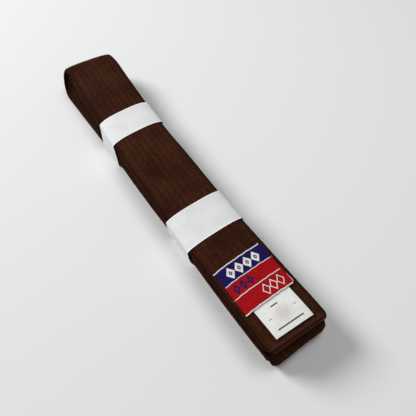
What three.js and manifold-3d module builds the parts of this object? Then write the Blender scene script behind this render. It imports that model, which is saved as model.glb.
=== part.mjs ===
// A martial arts belt folded in half three times, held by two paper bands, as it is sold.
// Millimetres. X is across the belt, +Y runs along the bundle away from the free ends, +Z is up.
// The origin is at the middle of the bundle's footprint, on the surface it lies on.

import * as THREE from 'three';
import * as BufferGeometryUtils from 'three/addons/utils/BufferGeometryUtils.js';
import Module from 'manifold-3d';

const wasm = await Module();
wasm.setup();

// The belt: its cut length and width, and one ply of the folded stack.
const BELT_LENGTH = 2200;
const BELT_WIDTH = 40;
const PLY_THICKNESS = 2.75;
const PLY_GAP = 0.3;
const PLY_PITCH = PLY_THICKNESS + PLY_GAP;
const PLY_COUNT = 8;

// Inside a ply: the cover cloth is folded round two core plies and closed along its +X edge.
const COVER_WALL = 0.5;
const COVER_SEAM_SLIT = 0.2;
const CORE_GAP = 0.2;
const CORE_PLIES = 2;
const CORE_SIDE_GAP = 0.5;
const END_HEM = 4;

// The paper bands: one glued strip each, wrapped round the stack.
const PAPER = 0.18;
const GLUE = 0.08;
const GLUE_GAP = 0.03;
const GLUE_MARGIN = 1.5;
const BAND_WIDTH = 25;
const BAND_OVERLAP = 12;
const BAND_STEP_RUN = 3;
const BAND_SIDE_CLEARANCE = 0.3;
const BAND_TOP_CLEARANCE = 1.1;
const BAND_BOTTOM_CLEARANCE = 0.3;
const BAND_CORNER_RADIUS = 1.6;
const NEAR_BAND_FROM_FREE_END = 86.3;
const FAR_BAND_FROM_FREE_END = 187.9;

// The labels, sewn on the upper free end.
const WOVEN_LABEL_WIDTH = 33.3;
const WOVEN_LABEL_LENGTH = 29.7;
const WOVEN_LABEL_THICKNESS = 0.4;
const WOVEN_LABEL_FROM_END = 23.2;
const SIZE_LABEL_WIDTH = 24.4;
const SIZE_LABEL_LENGTH = 19.4;
const SIZE_LABEL_THICKNESS = 0.14;
const SIZE_LABEL_TAB = 4;
const LABEL_GAP = 0.05;
const LABEL_STEP_GAP = 0.3;
const STITCH_INSET = 1.1;
const STITCH_WIDTH = 0.35;
const STITCH_HEIGHT = 0.2;

// The upper free end lifts from a bend line just in front of the near band.
const BEND_LINE_FROM_BAND = 2.5;
const BEND_LINE_GAP = 0.3;

// At the near end, the lower folds reach past the free ends, and the fold between plies 3 and 4
// lies back from them. At the far end, the inner folds lie back from the outermost one.
const LOWER_FOLD_REACH = 4.5;
const INNER_NEAR_FOLD_RECESS = 5;
const INNER_FAR_FOLD_RECESS = 5;
const ARC_STEPS = 14;

// The stack's heights.
const halfPly = PLY_THICKNESS / 2;
const bandFloor = 2 * PAPER + GLUE + 2 * GLUE_GAP;
const stackBottom = bandFloor + BAND_BOTTOM_CLEARANCE;
const stackTop = stackBottom + PLY_COUNT * PLY_PITCH - PLY_GAP;
const plyHeight = (ply) => stackTop - halfPly - (ply - 1) * PLY_PITCH;

// The seven folds in the order that the belt runs through them, from its upper free end.
const FOLDS = [
  { at: 'far', from: 1, to: 8 },
  { at: 'near', from: 8, to: 5 },
  { at: 'far', from: 5, to: 4 },
  { at: 'near', from: 4, to: 3 },
  { at: 'far', from: 3, to: 6 },
  { at: 'near', from: 6, to: 7 },
  { at: 'far', from: 7, to: 2 },
];
const foldRadius = (fold) => (Math.abs(fold.from - fold.to) * PLY_PITCH) / 2;

// How far each fold's centre lies from the end of the bundle that it turns at.
const outerFarFold = FOLDS[0];
const lowerNearFold = FOLDS[1];
const innerNearFold = FOLDS[3];
function centreFromEnd(fold) {
  if (fold.at === 'far') {
    const recess = fold === outerFarFold ? 0 : INNER_FAR_FOLD_RECESS;
    return recess + foldRadius(outerFarFold) + halfPly;
  }
  if (fold === innerNearFold) {
    const recess = LOWER_FOLD_REACH + INNER_NEAR_FOLD_RECESS;
    return recess + foldRadius(innerNearFold) + halfPly;
  }
  return foldRadius(lowerNearFold) + halfPly;
}

// The bundle's length is the one that uses up the whole belt: each fold shortens its two plies
// by its centre's distance from the end, and adds half a turn. Both free ends stop short too.
const turns = FOLDS.reduce((sum, fold) => sum + Math.PI * foldRadius(fold), 0);
const foldShortening = FOLDS.reduce((sum, fold) => sum + 2 * centreFromEnd(fold), 0);
const shortening = foldShortening + 2 * LOWER_FOLD_REACH;
const bundleLength = (BELT_LENGTH - turns + shortening) / PLY_COUNT;
const nearEnd = -bundleLength / 2;
const farEnd = bundleLength / 2;
const freeEnd = nearEnd + LOWER_FOLD_REACH;

const nearBandY = freeEnd + NEAR_BAND_FROM_FREE_END;
const farBandY = freeEnd + FAR_BAND_FROM_FREE_END;
const bendLineY = nearBandY - BAND_WIDTH / 2 - BEND_LINE_FROM_BAND;

const foldCentre = (fold) => new THREE.Vector2(
  fold.at === 'far' ? farEnd - centreFromEnd(fold) : nearEnd + centreFromEnd(fold),
  (plyHeight(fold.from) + plyHeight(fold.to)) / 2,
);

// The belt's centre line in the YZ plane, from a point on ply 1 to a point on ply 2.
function foldedLine(startY, endY) {
  const line = [new THREE.Vector2(startY, plyHeight(1))];
  for (const fold of FOLDS) {
    const centre = foldCentre(fold);
    const radius = foldRadius(fold);
    const outward = fold.at === 'far' ? 1 : -1;
    const down = fold.to > fold.from ? 1 : -1;
    for (let step = 0; step <= ARC_STEPS; step += 1) {
      const angle = Math.PI / 2 - (Math.PI * step) / ARC_STEPS;
      line.push(new THREE.Vector2(
        centre.x + outward * radius * Math.cos(angle),
        centre.y + down * radius * Math.sin(angle),
      ));
    }
  }
  line.push(new THREE.Vector2(endY, plyHeight(2)));
  return line;
}

// Points beside an open line, at a distance to the left of its direction.
function beside(line, distance) {
  return line.map((point, i) => {
    const before = line[Math.max(i - 1, 0)];
    const after = line[Math.min(i + 1, line.length - 1)];
    const incoming = point.clone().sub(before).normalize();
    const outgoing = after.clone().sub(point).normalize();
    const along = incoming.clone().add(outgoing).normalize();
    const reference = i > 0 ? incoming : outgoing;
    const mitre = along.dot(reference);
    return new THREE.Vector2(-along.y, along.x).multiplyScalar(distance / mitre).add(point);
  });
}

// A ribbon that follows an open line, between two distances to its left, as a closed outline.
function ribbon(line, low, high) {
  return new THREE.Shape([...beside(line, high), ...beside(line, low).reverse()]);
}

// An outline in the YZ plane, extruded along X from one side of the belt to the other.
function acrossBelt(shape, lowX, highX) {
  const geometry = new THREE.ExtrudeGeometry(shape, { depth: highX - lowX, bevelEnabled: false });
  const turn = new THREE.Matrix4().makeBasis(
    new THREE.Vector3(0, 1, 0),
    new THREE.Vector3(0, 0, 1),
    new THREE.Vector3(1, 0, 0),
  );
  return geometry.applyMatrix4(turn).translate(lowX, 0, 0);
}

// An outline in the XZ plane, extruded along Y about a middle.
function alongBelt(shape, length, middleY) {
  const geometry = new THREE.ExtrudeGeometry(shape, { depth: length, bevelEnabled: false });
  return geometry.rotateX(Math.PI / 2).translate(0, middleY + length / 2, 0);
}

// A box given by its lowest and highest corners.
function boxBetween(low, high) {
  const size = high.clone().sub(low);
  const middle = low.clone().add(high).multiplyScalar(0.5);
  return new THREE.BoxGeometry(size.x, size.y, size.z).translate(middle.x, middle.y, middle.z);
}

function toSolid(geometry) {
  const bare = geometry.clone();
  bare.deleteAttribute('normal');
  bare.deleteAttribute('uv');
  const merged = BufferGeometryUtils.mergeVertices(bare);
  return new wasm.Manifold(new wasm.Mesh({
    numProp: 3,
    vertProperties: new Float32Array(merged.attributes.position.array),
    triVerts: new Uint32Array(merged.index.array),
  }));
}

function toGeometry(solid) {
  const mesh = solid.getMesh();
  const geometry = new THREE.BufferGeometry();
  geometry.setAttribute('position', new THREE.BufferAttribute(mesh.vertProperties, 3));
  geometry.setIndex(new THREE.BufferAttribute(mesh.triVerts, 1));
  geometry.computeVertexNormals();
  return geometry;
}

// The cover cloth along a line: a flat tube whose +X edge is left open by the seam's slit.
// The cavity's line says where the tube is hollow, so a hem stays solid.
function coverAlong(line, cavityLine) {
  const inside = halfPly - COVER_WALL;
  const edge = BELT_WIDTH / 2;
  const outer = toSolid(acrossBelt(ribbon(line, -halfPly, halfPly), -edge, edge));
  const cavity = toSolid(
    acrossBelt(ribbon(cavityLine, -inside, inside), -edge + COVER_WALL, edge - COVER_WALL),
  );
  const slit = toSolid(acrossBelt(
    ribbon(cavityLine, -COVER_SEAM_SLIT / 2, COVER_SEAM_SLIT / 2),
    edge - 2 * COVER_WALL,
    edge + COVER_WALL,
  ));
  return toGeometry(outer.subtract(cavity.add(slit)));
}

// One core ply along a line, counted from the belt's face side.
function corePlyAlong(line, index) {
  const room = PLY_THICKNESS - 2 * COVER_WALL;
  const thickness = (room - (CORE_PLIES + 1) * CORE_GAP) / CORE_PLIES;
  const high = room / 2 - CORE_GAP - index * (thickness + CORE_GAP);
  const edge = BELT_WIDTH / 2 - COVER_WALL - CORE_SIDE_GAP;
  return acrossBelt(ribbon(line, high - thickness, high), -edge, edge);
}

// The belt in two lengths: the upper free end in front of the bend line, and all the rest.
const mainStart = bendLineY + BEND_LINE_GAP / 2;
const freeStart = bendLineY - BEND_LINE_GAP / 2;
const hemEnd = freeEnd + END_HEM;
const openEnd = 2 * COVER_WALL;
const straight = (fromY, toY) => [
  new THREE.Vector2(fromY, plyHeight(1)),
  new THREE.Vector2(toY, plyHeight(1)),
];

// The strip's outline in XZ starts at its inner end, under the stack, and comes round to its
// outer end, which passes below the inner one by the overlap.
function bandLine() {
  const half = PAPER / 2;
  const side = BELT_WIDTH / 2 + BAND_SIDE_CLEARANCE + half;
  const top = stackTop + BAND_TOP_CLEARANCE + half;
  const inner = bandFloor - half;
  const lap = BAND_OVERLAP / 2;
  const line = [
    new THREE.Vector2(lap, inner),
    new THREE.Vector2(-lap, inner),
    new THREE.Vector2(-lap - BAND_STEP_RUN, half),
  ];
  const corners = [
    { x: -side, z: half, turn: -Math.PI / 2 },
    { x: -side, z: top, turn: Math.PI },
    { x: side, z: top, turn: Math.PI / 2 },
    { x: side, z: half, turn: 0 },
  ];
  const cornerSteps = 5;
  for (const corner of corners) {
    const cx = corner.x - Math.sign(corner.x) * BAND_CORNER_RADIUS;
    const cz = corner.z === top ? top - BAND_CORNER_RADIUS : half + BAND_CORNER_RADIUS;
    for (let step = 0; step <= cornerSteps; step += 1) {
      const angle = corner.turn - (Math.PI / 2) * (step / cornerSteps);
      line.push(new THREE.Vector2(
        cx + BAND_CORNER_RADIUS * Math.cos(angle),
        cz + BAND_CORNER_RADIUS * Math.sin(angle),
      ));
    }
  }
  line.push(new THREE.Vector2(-lap, half));
  return line;
}

function paperBand(middleY) {
  return alongBelt(ribbon(bandLine(), -PAPER / 2, PAPER / 2), BAND_WIDTH, middleY);
}

// The glue between a band's two ends.
function glueStrip(middleY) {
  const halfX = BAND_OVERLAP / 2 - GLUE_MARGIN;
  const halfY = BAND_WIDTH / 2 - GLUE_MARGIN;
  const low = PAPER + GLUE_GAP;
  return boxBetween(
    new THREE.Vector3(-halfX, middleY - halfY, low),
    new THREE.Vector3(halfX, middleY + halfY, low + GLUE),
  );
}

// The labels' places: the size label's sewn tab lies between the belt and the woven label.
const tabBottom = stackTop + LABEL_GAP;
const wovenBottom = tabBottom + SIZE_LABEL_THICKNESS + LABEL_GAP;
const wovenTop = wovenBottom + WOVEN_LABEL_THICKNESS;
const wovenNearY = freeEnd + WOVEN_LABEL_FROM_END;
const wovenFarY = wovenNearY + WOVEN_LABEL_LENGTH;
const sizeLabelFarY = wovenNearY - LABEL_STEP_GAP;

function labelPlate(width, nearY, farY, bottom, thickness) {
  return boxBetween(
    new THREE.Vector3(-width / 2, nearY, bottom),
    new THREE.Vector3(width / 2, farY, bottom + thickness),
  );
}

// The sewing thread round the woven label, as one rectangular ring.
function labelStitching() {
  const rectangle = (Kind, inset) => {
    const x = WOVEN_LABEL_WIDTH / 2 - inset;
    const low = wovenNearY + inset;
    const high = wovenFarY - inset;
    const outline = new Kind();
    outline.moveTo(-x, low);
    outline.lineTo(x, low);
    outline.lineTo(x, high);
    outline.lineTo(-x, high);
    outline.closePath();
    return outline;
  };
  const ring = rectangle(THREE.Shape, STITCH_INSET);
  ring.holes.push(rectangle(THREE.Path, STITCH_INSET + STITCH_WIDTH));
  const geometry = new THREE.ExtrudeGeometry(ring, { depth: STITCH_HEIGHT, bevelEnabled: false });
  return geometry.translate(0, 0, wovenTop + LABEL_GAP);
}

const cloth = { color: 0x34190f, roughness: 0.92, metalness: 0 };
const wadding = { color: 0xd8cfc0, roughness: 0.95, metalness: 0 };
const paper = { color: 0xf0f0ec, roughness: 0.7, metalness: 0 };
const glue = { color: 0xd9cf9f, roughness: 0.4, metalness: 0 };
const weave = { color: 0xa0101a, roughness: 0.75, metalness: 0 };
const thread = { color: 0xe8e2e4, roughness: 0.7, metalness: 0 };
const satin = { color: 0xecece8, roughness: 0.5, metalness: 0 };

const belt = new THREE.Group();

function addPiece(name, geometry, finish) {
  const mesh = new THREE.Mesh(geometry, new THREE.MeshStandardMaterial(finish));
  mesh.name = name;
  belt.add(mesh);
}

addPiece(
  'belt_cover',
  coverAlong(foldedLine(mainStart, freeEnd), foldedLine(mainStart - openEnd, hemEnd)),
  cloth,
);
addPiece(
  'free_end_cover',
  coverAlong(straight(freeEnd, freeStart), straight(hemEnd, freeStart + openEnd)),
  cloth,
);
for (let index = 0; index < CORE_PLIES; index += 1) {
  addPiece(
    `belt_core_ply_${index + 1}`,
    corePlyAlong(foldedLine(mainStart, hemEnd + CORE_GAP), index),
    wadding,
  );
  addPiece(
    `free_end_core_ply_${index + 1}`,
    corePlyAlong(straight(hemEnd + CORE_GAP, freeStart), index),
    wadding,
  );
}

addPiece(
  'woven_label',
  labelPlate(WOVEN_LABEL_WIDTH, wovenNearY, wovenFarY, wovenBottom, WOVEN_LABEL_THICKNESS),
  weave,
);
addPiece('woven_label_stitching', labelStitching(), thread);
addPiece(
  'size_label_sewn_tab',
  labelPlate(SIZE_LABEL_WIDTH, wovenNearY, wovenNearY + SIZE_LABEL_TAB, tabBottom,
    SIZE_LABEL_THICKNESS),
  satin,
);
addPiece(
  'size_label',
  labelPlate(SIZE_LABEL_WIDTH, sizeLabelFarY - SIZE_LABEL_LENGTH, sizeLabelFarY, tabBottom,
    SIZE_LABEL_THICKNESS),
  satin,
);

for (const [name, middleY] of [['near', nearBandY], ['far', farBandY]]) {
  addPiece(`paper_band_${name}`, paperBand(middleY), paper);
  addPiece(`paper_band_${name}_glue`, glueStrip(middleY), glue);
}

export default belt;
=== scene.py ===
import math

import bpy
import numpy as np
from mathutils import Matrix, Vector


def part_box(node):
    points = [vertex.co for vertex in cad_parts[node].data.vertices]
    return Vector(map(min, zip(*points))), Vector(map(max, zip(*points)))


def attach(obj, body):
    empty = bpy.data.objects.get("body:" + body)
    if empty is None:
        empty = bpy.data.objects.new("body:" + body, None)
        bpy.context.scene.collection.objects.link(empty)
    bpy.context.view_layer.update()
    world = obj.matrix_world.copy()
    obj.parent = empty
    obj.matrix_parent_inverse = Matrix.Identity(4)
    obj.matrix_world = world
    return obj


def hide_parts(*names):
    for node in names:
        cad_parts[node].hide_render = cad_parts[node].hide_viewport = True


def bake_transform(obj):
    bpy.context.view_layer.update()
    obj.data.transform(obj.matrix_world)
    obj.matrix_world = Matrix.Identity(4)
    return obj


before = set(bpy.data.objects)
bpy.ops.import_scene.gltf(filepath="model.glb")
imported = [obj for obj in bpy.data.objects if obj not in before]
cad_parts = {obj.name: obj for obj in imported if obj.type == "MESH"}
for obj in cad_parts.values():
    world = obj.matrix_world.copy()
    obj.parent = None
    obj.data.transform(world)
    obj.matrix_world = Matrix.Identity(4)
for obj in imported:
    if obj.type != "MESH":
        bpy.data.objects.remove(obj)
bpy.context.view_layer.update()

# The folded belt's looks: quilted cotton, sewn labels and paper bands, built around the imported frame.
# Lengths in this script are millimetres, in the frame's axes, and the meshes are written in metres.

MM = 0.001


def node_box(node):
    low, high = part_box(node)
    return np.array(low) / MM, np.array(high) / MM


def smooth(start, end, value):
    """0 before start and 1 after end, with a smooth rise between. start may be the larger one."""
    t = np.clip((np.asarray(value, float) - start) / (end - start), 0, 1)
    return t * t * (3 - 2 * t)


def ripples(along, across, wavelength, seed, waves=7):
    """Smooth random waves of about one wavelength, from -1 to 1 or so, the same each run."""
    random = np.random.default_rng(seed)
    total = 0
    for _ in range(waves):
        heading, phase = random.uniform(0, 2 * math.pi, 2)
        length = wavelength * random.uniform(0.7, 1.5)
        total = total + np.sin(
            2 * math.pi * (along * math.cos(heading) + across * math.sin(heading)) / length + phase
        )
    return total / math.sqrt(waves)


def lengths_along(points):
    """The length along a line of points, at each of them."""
    return np.concatenate([[0], np.cumsum(np.linalg.norm(np.diff(points, axis=0), axis=1))])


def texture_at(along, across):
    """Texture coordinates, which are metres along and across the cloth, tape or paper."""
    return np.stack(np.broadcast_arrays(along * MM, across * MM), -1)


def linked(name, data):
    """A new object for the data, put in the scene."""
    obj = bpy.data.objects.new(name, data)
    bpy.context.scene.collection.objects.link(obj)
    return obj


# -------- the folded belt's path

BELT_LOW, BELT_HIGH = node_box("belt_cover")
FREE_LOW, FREE_HIGH = node_box("free_end_cover")
NEAR_BAND_LOW, NEAR_BAND_HIGH = node_box("paper_band_near")
FAR_BAND_LOW, FAR_BAND_HIGH = node_box("paper_band_far")

NEAR_END, FAR_END = BELT_LOW[1], BELT_HIGH[1]
FREE_END = FREE_LOW[1]
HALF_WIDTH = BELT_HIGH[0]
STACK_BOTTOM, STACK_TOP = BELT_LOW[2], BELT_HIGH[2]
PLY_COUNT = 8
PLY = FREE_HIGH[2] - FREE_LOW[2]
PITCH = (STACK_TOP - STACK_BOTTOM - PLY) / (PLY_COUNT - 1)
PLY_GAP = 0.1
CLOTH = PITCH - PLY_GAP

INNER_NEAR_FOLD_RECESS = 5
INNER_FAR_FOLD_RECESS = 5
FAR_LOOSENESS, FAR_LOOSE_RUN = 1.0, 60
NEAR_LOOSENESS, NEAR_LOOSE_RUN = 0.3, 20
END_SAG, END_SAG_RUN = 1.0, 16

# The path's points in each ply and turn, the mesh's longest steps along the belt where it is seen
# and where it is hidden, and the fewest sections in a turn.
RUN_POINTS, TURN_POINTS = 400, 90
SEEN_STEP, HIDDEN_STEP = 0.64, 4.0
TURN_SECTIONS = 14

# The plies are numbered from the top, and the upper free end is the end of ply 1.
# Each fold: the end it turns at, its plies, and how far it reaches past a round turn.
FOLDS = [
    ("far", 1, 8, 0.6),
    ("near", 8, 5, 0.6),
    ("far", 5, 4, 1.2),
    ("near", 4, 3, 0.2),
    ("far", 3, 6, 0.2),
    ("near", 6, 7, 0.3),
    ("far", 7, 2, 0),
]


def flat_height(ply):
    """The height of a ply's middle where the stack is flat."""
    return STACK_TOP - PLY / 2 - (ply - 1) * PITCH


def fold_radius(first, second):
    """Half the height between two plies where they are folded, with the fold's looseness."""
    looseness = FAR_LOOSENESS if (first <= 4) != (second <= 4) else 0
    if {first, second} == {6, 7} or {first, second} == {5, 8}:
        looseness = NEAR_LOOSENESS
    return abs(first - second) * PITCH / 2 + looseness


FAR_CENTRE = FAR_END - CLOTH / 2 - fold_radius(1, 8) - FOLDS[0][3]
INNER_FAR_CENTRE = FAR_CENTRE - INNER_FAR_FOLD_RECESS
NEAR_CENTRE = NEAR_END + CLOTH / 2 + fold_radius(5, 8) + FOLDS[1][3]
INNER_NEAR_CENTRE = FREE_END + INNER_NEAR_FOLD_RECESS + CLOTH / 2 + fold_radius(3, 4)


def ply_height(ply, y):
    """A ply's middle height, with the folds' looseness at both ends and the free ends' sag."""
    z = flat_height(ply) + 0 * y
    if ply <= 4:
        z = z + 2 * FAR_LOOSENESS * smooth(INNER_FAR_CENTRE - FAR_LOOSE_RUN, INNER_FAR_CENTRE, y)
    if ply <= 4 or ply in (5, 6):
        z = z + 2 * NEAR_LOOSENESS * smooth(NEAR_CENTRE + NEAR_LOOSE_RUN, NEAR_CENTRE, y)
    if ply <= 2:
        z = z - END_SAG * smooth(FREE_END + END_SAG_RUN, FREE_END, y)
    return z


def fold_centre(fold):
    """The place along Y where a fold's turn begins."""
    end, first, second = fold[:3]
    if end == "far":
        return FAR_CENTRE if {first, second} == {1, 8} else INNER_FAR_CENTRE
    return INNER_NEAR_CENTRE if {first, second} == {3, 4} else NEAR_CENTRE


def belt_path():
    """Points (y, z) along the belt's middle from its upper free end, the mesh's step at each of
    them, and the folds' tips."""
    points, steps, tips = [], [], []

    def run(ply, start, end, seen_below):
        y = np.linspace(start, end, RUN_POINTS)
        points.append(np.stack([y, ply_height(ply, y)], 1))
        steps.append(np.where(y < seen_below, SEEN_STEP, HIDDEN_STEP))

    def turn(fold):
        end, first, second, reach = fold
        centre = fold_centre(fold)
        top, low = ply_height(first, centre), ply_height(second, centre)
        height = (top - low) / 2
        angle = np.linspace(math.pi / 2, -math.pi / 2, TURN_POINTS)[1:-1]
        outward = 1 if end == "far" else -1
        y = centre + outward * (abs(height) + reach) * np.cos(angle)
        z = (top + low) / 2 + height * np.sin(angle)
        points.append(np.stack([y, z], 1))
        tips.append((y[len(y) // 2], z[len(y) // 2]))
        outermost = {first, second} in ({1, 8}, {5, 8})
        step = math.pi * abs(height) / TURN_SECTIONS
        steps.append(np.full(len(y), min(SEEN_STEP, step) if outermost else step))

    ply, start = 1, FREE_END
    for fold in FOLDS:
        run(ply, start, fold_centre(fold), math.inf if ply in (1, PLY_COUNT) else -math.inf)
        turn(fold)
        ply, start = fold[2], fold_centre(fold)
    run(ply, start, FREE_END, NEAR_BAND_HIGH[1])
    points, steps = np.concatenate(points), np.concatenate(steps)
    keep = np.concatenate([[True], np.linalg.norm(np.diff(points, axis=0), axis=1) > 1e-6])
    return points[keep], steps[keep], tips


PATH, PATH_STEPS, FOLD_TIPS = belt_path()
PATH_S = lengths_along(PATH)
PATH_TANGENT = np.gradient(PATH, PATH_S, axis=0)
PATH_TANGENT /= np.linalg.norm(PATH_TANGENT, axis=1)[:, None]
BELT_S = PATH_S[-1]

# The cover's two pieces, and the two of the core, meet in the middle of the near band.
SEAM_S = (NEAR_BAND_LOW[1] + NEAR_BAND_HIGH[1]) / 2 - FREE_END


def length_at(tip):
    """The length along the belt of the path's point nearest to the tip."""
    return PATH_S[np.argmin(np.hypot(*(PATH - tip).T))]


FOLD_PLACES = [0] + [length_at(tip) for tip in FOLD_TIPS] + [BELT_S]

# -------- how the bundle has settled

# The bands press the plies' edges down, and hold them in line, up to GRIP_REACH past the paper.
GRIP_INSET, GRIP_REACH, LEAST_GRIP = 3, 28, 0.35

# The plies in the path's order, and how far each lies to +X away from the bands. On top of that are
# slow waves: their size, length and start.
PLY_ORDER = [1] + [fold[2] for fold in FOLDS]
PLY_DRIFT = {1: 0.0, 2: 1.7, 3: 0.2, 4: -0.3, 5: 2.3, 6: 0.6, 7: -0.5, 8: -0.2}
DRIFT_RUN, BAND_HOLD = 25, 0.8
DRIFT_WAVES = [(0.3, 410, 0.6), (0.2, 167, 0)]
DRIFT_WAVES_START = 60

LEAN_AT_MIDDLE, LEAN_SLOPE, LEAN_CURVE, LEAN_LIMIT = -1.25, 0.0446, 0.000205, 7.0
LEAN_POWER, LEAN_POWER_DROP, LEAN_POWER_RUN = 2.6, 1.2, 100

CROWN, CROWN_FALL = 0.85, 2.2
EDGE_SQUEEZE, SQUEEZE_START = 0.55, 0.62
FAR_FLATTENING, FAR_FLATTENING_RUN = 0.55, (85, 130)

# The lower near folds: their recess, their overrun towards +X and their corners, the places across
# and along the belt that these run between, and the height shares that the folds lie below.
FOLD_RECESS, FOLD_OVERRUN, FOLD_CORNER, CORNER_POWER = 0.6, 0.7, 1.7, 9
OVERRUN_RUN, NEAR_FOLD_RUN = (4, 18), (NEAR_END + 22, NEAR_END + 4)
LOWER_FOLDS = (0.78, 0.62)
# How far the far end stands back at its +X edge.
FAR_SKEW, FAR_FOLD_RUN = 3.6, (FAR_END - 45, FAR_END - 4)

# The free ends were cut askew: how much, and how far each runs out at its +X edge.
END_SKEW, END_OVERRUN = 2.6, 0.4
LOWER_END_SKEW, LOWER_END_OVERRUN = 2.08, 1.6
END_SKEW_RUN = 34


def band_grip(y):
    """1 under the paper bands, where the edges are pressed down, and less away from them."""
    grip = 0
    for low, high in ((NEAR_BAND_LOW, NEAR_BAND_HIGH), (FAR_BAND_LOW, FAR_BAND_HIGH)):
        middle, half = (low[1] + high[1]) / 2, (high[1] - low[1]) / 2
        away = np.abs(y - middle)
        grip = np.maximum(grip, 1 - smooth(half - GRIP_INSET, half + GRIP_REACH, away))
    return LEAST_GRIP + (1 - LEAST_GRIP) * grip


def drift(s, y):
    """How far the belt lies to +X at the length s: each ply has its own slip, less in the bands."""
    places, slips = [], []
    for ply, start, end in zip(PLY_ORDER, FOLD_PLACES[:-1], FOLD_PLACES[1:]):
        places += [start + DRIFT_RUN, end - DRIFT_RUN]
        slips += [PLY_DRIFT[ply]] * 2
    waves = sum(size * np.sin(2 * math.pi * s / length + start) for size, length, start in DRIFT_WAVES)
    held = 1 - BAND_HOLD * band_grip(y)
    return np.interp(s, places, slips) * held + waves * smooth(0, DRIFT_WAVES_START, s)


def lean(y):
    """How far the top of the stack has slipped to +X over its bottom."""
    return np.minimum(LEAN_AT_MIDDLE + LEAN_SLOPE * y + LEAN_CURVE * y * y, LEAN_LIMIT)


def lean_share(y, u):
    """The share of the lean at the height share u: the slip is in the lower plies at the near end."""
    power = LEAN_POWER - LEAN_POWER_DROP * smooth(0, LEAN_POWER_RUN, y)
    return 1 - (1 - u) ** power


def crown(x, y):
    """How much the top surface rises above its flat height."""
    share = np.clip(np.abs(x) / HALF_WIDTH, 0, 1.1)
    edge = np.clip((np.abs(x) - SQUEEZE_START * HALF_WIDTH) / ((1 - SQUEEZE_START) * HALF_WIDTH), 0, 1.3)
    flatter = 1 - FAR_FLATTENING * smooth(*FAR_FLATTENING_RUN, y)
    return CROWN - CROWN_FALL * flatter * share ** 3 - EDGE_SQUEEZE * band_grip(y) * edge ** 2


def long_waves(y):
    """How far the stack's top waves along its length: to +X, and upwards."""
    return 0.25 * ripples(y, 0 * y, 120, 5, 3), 0.16 * ripples(y, 0 * y, 95, 3, 3)


def fold_shift(x, y, u):
    """How far to +Y the end folds lie from their square lines. The lower near folds stand out most
    towards +X and have rounded corners. The far end was folded askew, and stands back at +X."""
    corner = FOLD_CORNER * np.clip(np.abs(x) / HALF_WIDTH, 0, 1.1) ** CORNER_POWER
    near = FOLD_RECESS - FOLD_OVERRUN * smooth(*OVERRUN_RUN, x) + corner
    far = -FAR_SKEW * np.clip(0.5 + x / (2 * HALF_WIDTH), 0, 1.1)
    near_share = smooth(*NEAR_FOLD_RUN, y) * smooth(*LOWER_FOLDS, u)
    return near * near_share + far * smooth(*FAR_FOLD_RUN, y)


def settle(x, y, z):
    """Moves points of the straight, flat stack to where the soft one has settled, in metres."""
    u = np.clip((z - STACK_BOTTOM) / (STACK_TOP - STACK_BOTTOM), 0, 1.08)
    inside = np.clip(u, 0, 1)
    sideways, upwards = long_waves(y)
    shift = fold_shift(x, y, inside)
    z = z + u * (crown(x, y) + upwards)
    x = x + lean(y) * lean_share(y, inside) + u * sideways
    return np.stack(np.broadcast_arrays(x, y + shift, z), -1) * MM


def place(s, x, n):
    """The point at the length s along the belt, x across it and n out from its middle."""
    s, x, n = np.broadcast_arrays(np.asarray(s, float), np.asarray(x, float), np.asarray(n, float))
    y, z = np.interp(s, PATH_S, PATH[:, 0]), np.interp(s, PATH_S, PATH[:, 1])
    along_y = np.interp(s, PATH_S, PATH_TANGENT[:, 0])
    along_z = np.interp(s, PATH_S, PATH_TANGENT[:, 1])
    size = np.hypot(along_y, along_z)
    out_y, out_z = -along_z / size, along_y / size
    from_right = 0.5 - x / (2 * HALF_WIDTH)
    upper = smooth(END_SKEW_RUN, 0, s) * (END_SKEW * from_right - END_OVERRUN)
    lower = smooth(END_SKEW_RUN, 0, BELT_S - s) * (LOWER_END_SKEW * from_right - LOWER_END_OVERRUN)
    return settle(x + drift(s, y), y + out_y * n + upper + lower, z + out_z * n)


# -------- quilting

ROWS = 9
ROW_SPACING = 4.375
ROW_PLACES = ROW_SPACING * (np.arange(ROWS) - (ROWS - 1) / 2)
STITCH_PITCH = 3.2
GROOVE_DEPTH, GROOVE_WIDTH = 0.16, 0.5
PUFF, PUFF_PLACE, PUFF_WIDTH = 0.045, 1.2, 0.7
# The faces' vertices beside a row, and the half width that they keep to.
ROW_COLUMNS = (-1.45, -0.8, -0.4, 0, 0.4, 0.8, 1.45)
FACE_HALF_WIDTH = 18.3
# The round edges, and how much thinner the belt is there.
EDGE_ROUND, EDGE_STEPS = 1.9, 5
EDGE_THINNING = 0.2
# In the texture, the way from one face's middle round the edge to the other's, a whole number of rows.
HALF_ROUND = 10 * ROW_SPACING

# The hemmed free ends: their corners, their round edge, and their row of stitching from the end.
CORNER_ROUND = 4.2
HEM_ROUND, HEM_THINNING = 1.2, 0.93
HEM_ROW, HEM_ROW_DEPTH, HEM_ROW_WIDTH = 3.4, 0.22, 0.6
HEM_STATIONS = np.array([0, 0.05, 0.15, 0.3, 0.5, 0.8, 1.15, 1.6, 2.2])


def stitch_phase(row, s):
    """The place within a stitch, from 0 to 1. A stitch's ends are its needle holes."""
    return (s / STITCH_PITCH + 0.37 * row * row + 0.11 * row) % 1


def relief(s, x, side):
    """How far the quilted face stands out from the ply's flat face."""
    height = 0.05 * ripples(s, 2.2 * x, 9, 11 + side) + 0.04 * ripples(s, x, 3.4, 21 + side)
    for row, middle in enumerate(ROW_PLACES):
        away = x - middle
        hole = np.abs(2 * stitch_phase(row, s) - 1) ** 6
        depth = GROOVE_DEPTH * (0.75 + 0.5 * hole)
        height = height - depth * np.exp(-(away / GROOVE_WIDTH) ** 2)
        puff = PUFF * np.cos(2 * math.pi * (stitch_phase(row, s) - 0.5))
        height = height + puff * np.exp(-((np.abs(away) - PUFF_PLACE) / PUFF_WIDTH) ** 2)
    return height


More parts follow.
